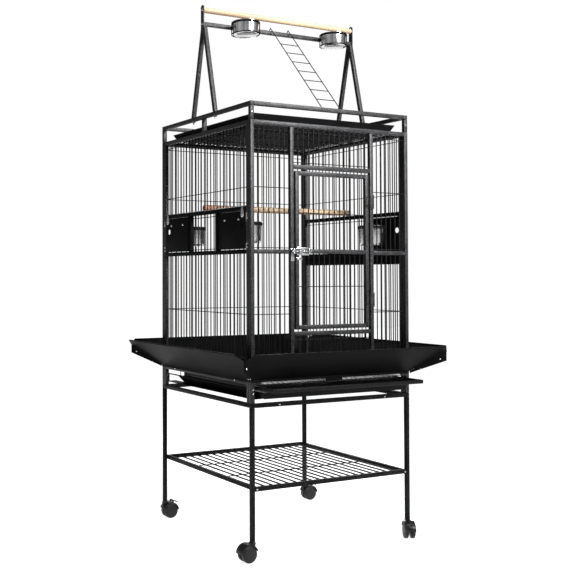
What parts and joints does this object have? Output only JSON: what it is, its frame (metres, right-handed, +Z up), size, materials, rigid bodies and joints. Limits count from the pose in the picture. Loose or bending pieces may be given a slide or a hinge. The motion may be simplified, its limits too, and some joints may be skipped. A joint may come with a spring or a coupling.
{
  "type": "bird cage on stand",
  "caption": "Wire parrot cage on a wheeled stand with a shelf, flared seed guard, pull-out trays, swing-out feeders and an open play top with perch, ladder and bowls.",
  "frame": {"origin": "on the floor, under the middle of the cage", "axes": "+Z up, the door faces -Y, +X to the right as seen from the front"},
  "size_m": [0.81, 0.78, 1.73],
  "materials": {
    "tube": "dark grey hammertone powder coat",
    "wire": "dark powder coat",
    "sheet": "satin black powder coat",
    "zinc": "bright plated",
    "stainless": "polished stainless steel",
    "wood": "sanded pale wood",
    "caster": "black moulded plastic",
    "wheel": "black moulded plastic"
  },
  "bodies": {
    "frame": {"leg_front_left": "tube", "leg_front_right": "tube", "leg_back_left": "tube", "leg_back_right": "tube", "stand_top_frame": "tube", "shelf": "tube", "front_panel": "tube", "left_panel": "tube", "right_panel": "tube", "back_panel": "tube", "roof_grille": "wire", "door_hinge_upper": "tube", "door_hinge_lower": "tube", "door_latch_keeper": "zinc", "tray_runner_left": "sheet", "tray_runner_right": "sheet", "seed_guard_front": "sheet", "seed_guard_back": "sheet", "seed_guard_left": "sheet", "seed_guard_right": "sheet", "rim": "tube", "play_frame_left": "tube", "play_frame_right": "tube", "play_crossbar": "tube", "play_perch": "wood", "cage_perch": "wood", "play_bowl_holder_left": "sheet", "play_bowl_holder_right": "sheet"},
    "door": {"main_door": "tube", "door_latch_plate": "zinc"},
    "latch_bolt": {"door_latch_bolt": "zinc"},
    "grate": {"grate": "wire"},
    "bottom_tray": {"bottom_tray": "sheet"},
    "top_tray": {"top_tray": "sheet"},
    "ladder": {"play_ladder": "wire"},
    "play_bowl_left": {"play_bowl_left": "stainless"},
    "play_bowl_right": {"play_bowl_right": "stainless"},
    "feeder_left_front": {"feeder_door_left_front": "sheet", "feeder_ring_left_front": "sheet"},
    "feeder_catch_left_front": {"feeder_catch_left_front": "zinc"},
    "feeder_bowl_left_front": {"feeder_bowl_left_front": "stainless"},
    "feeder_left_back": {"feeder_door_left_back": "sheet", "feeder_ring_left_back": "sheet"},
    "feeder_catch_left_back": {"feeder_catch_left_back": "zinc"},
    "feeder_bowl_left_back": {"feeder_bowl_left_back": "stainless"},
    "feeder_right_front": {"feeder_door_right_front": "sheet", "feeder_ring_right_front": "sheet"},
    "feeder_catch_right_front": {"feeder_catch_right_front": "zinc"},
    "feeder_bowl_right_front": {"feeder_bowl_right_front": "stainless"},
    "caster_front_left": {"caster_body_front_left": "caster"},
    "caster_front_left_wheels": {"caster_wheels_front_left": "wheel"},
    "caster_front_right": {"caster_body_front_right": "caster"},
    "caster_front_right_wheels": {"caster_wheels_front_right": "wheel"},
    "caster_back_left": {"caster_body_back_left": "caster"},
    "caster_back_left_wheels": {"caster_wheels_back_left": "wheel"},
    "caster_back_left_brake": {"caster_brake_back_left": "caster"},
    "caster_back_right": {"caster_body_back_right": "caster"},
    "caster_back_right_wheels": {"caster_wheels_back_right": "wheel"},
    "caster_back_right_brake": {"caster_brake_back_right": "caster"}
  },
  "joints": [
    {"name": "door_hinge", "type": "hinge", "parent": "frame", "child": "door", "pos_m": [0.145, -0.287, 0.924], "axis": [0, 0, 1], "range_deg": [0, 170]},
    {"name": "latch_bolt_slide", "type": "slide", "parent": "door", "child": "latch_bolt", "axis": [1, 0, 0], "range_m": [0, 0.0165]},
    {"name": "grate_slide", "type": "slide", "parent": "frame", "child": "grate", "axis": [0, -1, 0], "range_m": [-0.085, 0.35]},
    {"name": "bottom_tray_slide", "type": "slide", "parent": "frame", "child": "bottom_tray", "axis": [0, -1, 0], "range_m": [-0.04, 0.39]},
    {"name": "top_tray_slide", "type": "slide", "parent": "frame", "child": "top_tray", "axis": [0, -1, 0], "range_m": [0, 0.4]},
    {"name": "ladder_swing", "type": "hinge", "parent": "frame", "child": "ladder", "pos_m": [0, 0, 1.668], "axis": [-1, 0, 0], "range_deg": [0, 100]},
    {"name": "play_bowl_left_lift", "type": "slide", "parent": "frame", "child": "play_bowl_left", "axis": [0, 0, 1], "range_m": [0, 0.08]},
    {"name": "play_bowl_right_lift", "type": "slide", "parent": "frame", "child": "play_bowl_right", "axis": [0, 0, 1], "range_m": [0, 0.08]},
    {"name": "feeder_left_front_hinge", "type": "hinge", "parent": "frame", "child": "feeder_left_front", "pos_m": [-0.3075, -0.0935, 0.984], "axis": [0, 0, -1], "range_deg": [0, 110]},
    {"name": "feeder_catch_left_front_turn", "type": "hinge", "parent": "feeder_left_front", "child": "feeder_catch_left_front", "pos_m": [-0.30655, -0.238, 1.032], "axis": [-1, 0, 0], "range_deg": [0, 90]},
    {"name": "feeder_bowl_left_front_lift", "type": "slide", "parent": "feeder_left_front", "child": "feeder_bowl_left_front", "axis": [0, 0, 1], "range_m": [0, 0.07]},
    {"name": "feeder_left_back_hinge", "type": "hinge", "parent": "frame", "child": "feeder_left_back", "pos_m": [-0.3075, 0.0935, 0.984], "axis": [0, 0, 1], "range_deg": [0, 110]},
    {"name": "feeder_catch_left_back_turn", "type": "hinge", "parent": "feeder_left_back", "child": "feeder_catch_left_back", "pos_m": [-0.30655, 0.238, 1.032], "axis": [1, 0, 0], "range_deg": [0, 90]},
    {"name": "feeder_bowl_left_back_lift", "type": "slide", "parent": "feeder_left_back", "child": "feeder_bowl_left_back", "axis": [0, 0, 1], "range_m": [0, 0.07]},
    {"name": "feeder_right_front_hinge", "type": "hinge", "parent": "frame", "child": "feeder_right_front", "pos_m": [0.3075, -0.0935, 0.984], "axis": [0, 0, 1], "range_deg": [0, 110]},
    {"name": "feeder_catch_right_front_turn", "type": "hinge", "parent": "feeder_right_front", "child": "feeder_catch_right_front", "pos_m": [0.30655, -0.238, 1.032], "axis": [-1, 0, 0], "range_deg": [0, 90]},
    {"name": "feeder_bowl_right_front_lift", "type": "slide", "parent": "feeder_right_front", "child": "feeder_bowl_right_front", "axis": [0, 0, 1], "range_m": [0, 0.07]},
    {"name": "caster_front_left_swivel", "type": "hinge", "parent": "frame", "child": "caster_front_left", "pos_m": [-0.2985, -0.276, 0.06], "axis": [0, 0, 1], "continuous": true},
    {"name": "caster_front_left_roll", "type": "hinge", "parent": "caster_front_left", "child": "caster_front_left_wheels", "pos_m": [-0.3165, -0.276, 0.025], "axis": [0, 1, 0], "continuous": true},
    {"name": "caster_front_right_swivel", "type": "hinge", "parent": "frame", "child": "caster_front_right", "pos_m": [0.2985, -0.276, 0.06], "axis": [0, 0, 1], "continuous": true},
    {"name": "caster_front_right_roll", "type": "hinge", "parent": "caster_front_right", "child": "caster_front_right_wheels", "pos_m": [0.29005, -0.29189, 0.025], "axis": [-0.8829, 0.4695, 0], "continuous": true},
    {"name": "caster_back_left_swivel", "type": "hinge", "parent": "frame", "child": "caster_back_left", "pos_m": [-0.2985, 0.276, 0.06], "axis": [0, 0, 1], "continuous": true},
    {"name": "caster_back_left_roll", "type": "hinge", "parent": "caster_back_left", "child": "caster_back_left_wheels", "pos_m": [-0.2805, 0.276, 0.025], "axis": [0, -1, 0], "continuous": true},
    {"name": "caster_back_left_brake_press", "type": "hinge", "parent": "caster_back_left", "child": "caster_back_left_brake", "pos_m": [-0.2715, 0.276, 0.059], "axis": [0, 1, 0], "range_deg": [0, 12]},
    {"name": "caster_back_right_swivel", "type": "hinge", "parent": "frame", "child": "caster_back_right", "pos_m": [0.2985, 0.276, 0.06], "axis": [0, 0, 1], "continuous": true},
    {"name": "caster_back_right_roll", "type": "hinge", "parent": "caster_back_right", "child": "caster_back_right_wheels", "pos_m": [0.3165, 0.276, 0.025], "axis": [0, -1, 0], "continuous": true},
    {"name": "caster_back_right_brake_press", "type": "hinge", "parent": "caster_back_right", "child": "caster_back_right_brake", "pos_m": [0.3255, 0.276, 0.059], "axis": [0, 1, 0], "range_deg": [0, 12]}
  ]
}
